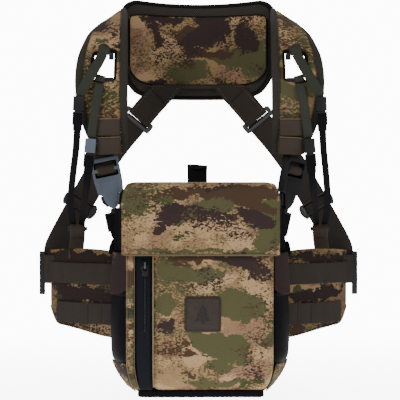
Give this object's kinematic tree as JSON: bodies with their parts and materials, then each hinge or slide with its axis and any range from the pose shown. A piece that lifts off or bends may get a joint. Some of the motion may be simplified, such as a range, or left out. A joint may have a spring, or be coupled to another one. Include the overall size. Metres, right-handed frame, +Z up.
{
  "type": "binocular harness pack",
  "caption": "Lidded chest case on a padded shoulder harness with belt wings, for carrying binoculars in the field.",
  "frame": {"origin": "centre of the case's flat rear face, which rests on the wearer's chest", "axes": "+X to the right seen from the front, +Y towards the wearer, +Z up"},
  "size_m": [0.398, 0.2905, 0.482],
  "materials": {
    "camo_fabric": "printed woven polyester, matte",
    "mesh_fabric": "spacer mesh, matte",
    "black_fabric": "woven nylon, matte",
    "brown_webbing": "ribbed nylon webbing, matte",
    "grey_webbing": "narrow nylon webbing, matte",
    "pale_piping": "thread, matte",
    "badge_leather": "embossed leather, matte",
    "black_plastic": "moulded, satin",
    "buckle_plastic": "moulded, semi-gloss",
    "steel": "plated"
  },
  "bodies": {
    "harness": {"main_shell": "camo_fabric", "front_pocket": "camo_fabric", "pocket_edge": "camo_fabric", "corner_guards": "camo_fabric", "side_ears": "camo_fabric", "belt_wing_left": "camo_fabric", "belt_wing_right": "camo_fabric", "yoke_face": "camo_fabric", "shoulder_strap_left": "camo_fabric", "shoulder_strap_right": "camo_fabric", "back_panel": "mesh_fabric", "yoke_pad": "mesh_fabric", "side_pocket_left": "mesh_fabric", "side_pocket_right": "mesh_fabric", "zip_tape": "black_fabric", "base_band": "black_fabric", "side_gussets": "black_fabric", "grab_loop": "black_fabric", "anchor_strap_left": "black_fabric", "anchor_strap_right": "black_fabric", "wing_webbing": "brown_webbing", "yoke_tabs": "brown_webbing", "strap_loops": "brown_webbing", "strap_tongues": "brown_webbing", "back_strap_left": "brown_webbing", "back_strap_right": "brown_webbing", "accessory_straps": "grey_webbing", "lower_straps_left": "grey_webbing", "lower_straps_right": "grey_webbing", "pocket_piping": "pale_piping", "badge_patch": "badge_leather", "zip_teeth": "black_plastic", "floor_board": "black_plastic", "wing_glides": "black_plastic", "strap_hooks": "black_plastic", "keeper_bars": "black_plastic", "buckle_socket_left": "buckle_plastic", "buckle_socket_right": "buckle_plastic", "buckle_noses": "buckle_plastic", "small_sockets": "buckle_plastic", "yoke_rings": "buckle_plastic", "pocket_magnets": "steel"},
    "lid": {"lid_panel": "camo_fabric", "lid_magnets": "steel"},
    "zip_slider": {"zip_slider": "steel"},
    "zip_pull": {"zip_pull": "black_plastic"},
    "plug_left": {"buckle_plug_left": "black_plastic"},
    "plug_right": {"buckle_plug_right": "black_plastic"},
    "arm_left_inner": {"release_arm_left_inner": "black_plastic"},
    "arm_left_outer": {"release_arm_left_outer": "black_plastic"},
    "arm_right_inner": {"release_arm_right_inner": "black_plastic"},
    "arm_right_outer": {"release_arm_right_outer": "black_plastic"},
    "small_plug_left_a": {"small_plug_left_a": "black_plastic"},
    "small_plug_left_b": {"small_plug_left_b": "black_plastic"},
    "small_plug_right_a": {"small_plug_right_a": "black_plastic"},
    "small_plug_right_b": {"small_plug_right_b": "black_plastic"},
    "back_glide_left": {"back_glide_left": "black_plastic"},
    "back_glide_right": {"back_glide_right": "black_plastic"}
  },
  "joints": [
    {"name": "lid_hinge", "type": "hinge", "parent": "harness", "child": "lid", "pos_m": [0, -0.004, 0.122], "axis": [-1, 0, 0], "range_deg": [0, 80]},
    {"name": "zip_slide", "type": "slide", "parent": "harness", "child": "zip_slider", "axis": [0, 0, -1], "range_m": [0, 0.068]},
    {"name": "zip_pull_swing", "type": "hinge", "parent": "zip_slider", "child": "zip_pull", "pos_m": [-0.064, -0.0958, 0.026], "axis": [-1, 0, 0], "range_deg": [0, 150]},
    {"name": "plug_left_slide", "type": "slide", "parent": "harness", "child": "plug_left", "axis": [0.2079, 0, -0.9781], "range_m": [0, 0.011]},
    {"name": "plug_right_slide", "type": "slide", "parent": "harness", "child": "plug_right", "axis": [-0.2079, 0, -0.9781], "range_m": [0, 0.011]},
    {"name": "arm_left_inner_squeeze", "type": "slide", "parent": "plug_left", "child": "arm_left_inner", "axis": [-0.9781, 0, -0.2079], "range_m": [0, 0.0018], "stiffness_N_per_m": 300},
    {"name": "arm_left_outer_squeeze", "type": "slide", "parent": "plug_left", "child": "arm_left_outer", "axis": [0.9781, 0, 0.2079], "range_m": [0, 0.0018], "stiffness_N_per_m": 300},
    {"name": "arm_right_inner_squeeze", "type": "slide", "parent": "plug_right", "child": "arm_right_inner", "axis": [0.6545, 0.7431, -0.1391], "range_m": [0, 0.0018], "stiffness_N_per_m": 300},
    {"name": "arm_right_outer_squeeze", "type": "slide", "parent": "plug_right", "child": "arm_right_outer", "axis": [-0.6545, -0.7431, 0.1391], "range_m": [0, 0.0018], "stiffness_N_per_m": 300},
    {"name": "small_plug_left_a_slide", "type": "slide", "parent": "harness", "child": "small_plug_left_a", "axis": [-0.0523, 0, -0.9986], "range_m": [0, 0.008]},
    {"name": "small_plug_left_b_slide", "type": "slide", "parent": "harness", "child": "small_plug_left_b", "axis": [-0.0872, 0, -0.9962], "range_m": [0, 0.008]},
    {"name": "small_plug_right_a_slide", "type": "slide", "parent": "harness", "child": "small_plug_right_a", "axis": [0.0523, 0, -0.9986], "range_m": [0, 0.008]},
    {"name": "small_plug_right_b_slide", "type": "slide", "parent": "harness", "child": "small_plug_right_b", "axis": [0.0872, 0, -0.9962], "range_m": [0, 0.008]},
    {"name": "back_glide_left_slide", "type": "slide", "parent": "harness", "child": "back_glide_left", "axis": [-0.4243, -0.405, -0.8099], "range_m": [-0.02, 0.02]},
    {"name": "back_glide_right_slide", "type": "slide", "parent": "harness", "child": "back_glide_right", "axis": [0.4243, -0.405, -0.8099], "range_m": [-0.02, 0.02]}
  ],
  "couplings": [
    {"joint": "arm_left_outer_squeeze", "follows": "arm_left_inner_squeeze", "ratio": 1},
    {"joint": "arm_right_outer_squeeze", "follows": "arm_right_inner_squeeze", "ratio": 1}
  ]
}
